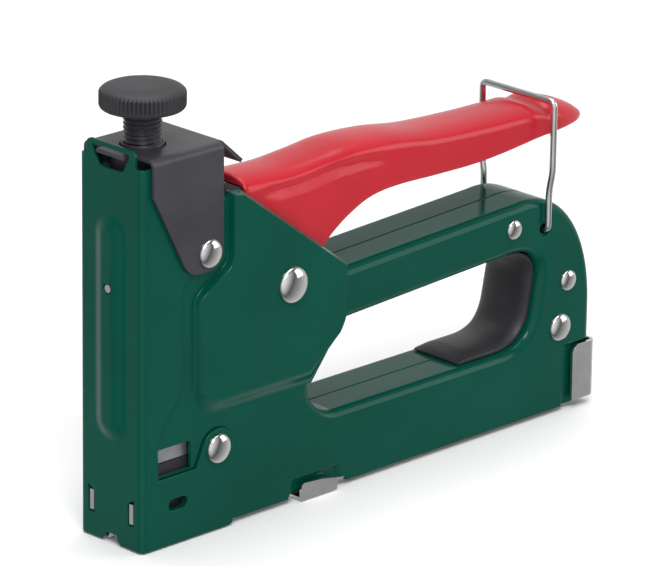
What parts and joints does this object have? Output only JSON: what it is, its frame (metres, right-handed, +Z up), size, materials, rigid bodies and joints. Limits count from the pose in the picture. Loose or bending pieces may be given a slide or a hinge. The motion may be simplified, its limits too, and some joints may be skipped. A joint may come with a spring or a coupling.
{
  "type": "staple gun",
  "caption": "Hand staple gun: pressed steel body with a hand opening, squeeze lever on a sprung hammer, tension knob, wire bail and a slide-out staple tray.",
  "frame": {"origin": "centre of the bounding box's bottom face, on the surface that the tool stands on", "axes": "+X from the nose to the rear, +Y across the tool towards its right body shell, +Z up"},
  "size_m": [0.188, 0.034, 0.1323],
  "materials": {
    "green_paint": "dark green gloss enamel",
    "red_plastic": "red, glossy",
    "black_steel": "black satin finish",
    "black_plastic": "black, fine grained",
    "chrome": "bright plating",
    "zinc": "zinc plated, dull",
    "spring_steel": "oiled spring steel",
    "black_rubber": "soft, matte"
  },
  "bodies": {
    "frame": {"left_body_shell": "green_paint", "right_body_shell": "green_paint", "nose_cover": "green_paint", "front_guide_plate": "chrome", "nose_front_rivet": "chrome", "hammer_bumper": "black_rubber", "top_bracket": "black_steel", "threaded_bush": "black_steel", "main_spring": "spring_steel", "pivot_spacer_left": "zinc", "pivot_spacer_right": "zinc", "lever_pivot_rivet": "chrome", "bracket_rivet": "chrome", "nose_side_rivet": "chrome", "rear_top_rivet": "chrome", "rear_middle_rivet": "chrome", "rear_lower_rivet": "chrome", "grip_insert": "black_rubber", "staple_channel": "zinc"},
    "lever": {"lever_arm": "black_steel", "lever_grip": "red_plastic"},
    "hammer_and_blade": {"hammer": "zinc", "driver_blade": "spring_steel"},
    "bail": {"wire_bail": "chrome"},
    "cup": {"spring_cup": "zinc"},
    "knob_and_screw": {"tension_screw": "black_steel", "tension_knob": "black_plastic"},
    "magazine": {"magazine_tray": "chrome", "tray_end_cap": "chrome", "pusher_rod": "zinc", "pusher_spring": "spring_steel"},
    "pusher": {"staple_pusher": "zinc"}
  },
  "joints": [
    {"name": "lever_squeeze", "type": "hinge", "parent": "frame", "child": "lever", "pos_m": [-0.03605, 0, 0.0671], "axis": [0, 1, 0], "range_deg": [0, 9.8], "stiffness_Nm_per_rad": 3, "springref_deg": -20.05},
    {"name": "hammer_lift", "type": "slide", "parent": "frame", "child": "hammer_and_blade", "axis": [0, 0, 1], "range_m": [0, 0.0076], "deforming": ["main_spring"]},
    {"name": "bail_swing", "type": "hinge", "parent": "frame", "child": "bail", "pos_m": [0.06985, 0, 0.0594], "axis": [0, 1, 0], "range_deg": [0, 125]},
    {"name": "cup_slide", "type": "slide", "parent": "frame", "child": "cup", "axis": [0, 0, 1], "range_m": [-0.0058, 0.0015], "deforming": ["main_spring"]},
    {"name": "screw_turn", "type": "hinge", "parent": "cup", "child": "knob_and_screw", "pos_m": [-0.08045, 0, 0.116], "axis": [0, 0, 1], "range_deg": [-1440, 360]},
    {"name": "tray_slide", "type": "slide", "parent": "frame", "child": "magazine", "axis": [1, 0, 0], "range_m": [0, 0.1]},
    {"name": "pusher_slide", "type": "slide", "parent": "magazine", "child": "pusher", "axis": [1, 0, 0], "range_m": [0, 0.1], "stiffness_N_per_m": 30, "springref_m": -0.05, "deforming": ["pusher_spring"]}
  ],
  "couplings": [
    {"joint": "hammer_lift", "follows": "lever_squeeze", "m_per_rad": 0.0436},
    {"joint": "cup_slide", "follows": "screw_turn", "m_per_rad": 0.00019894}
  ]
}
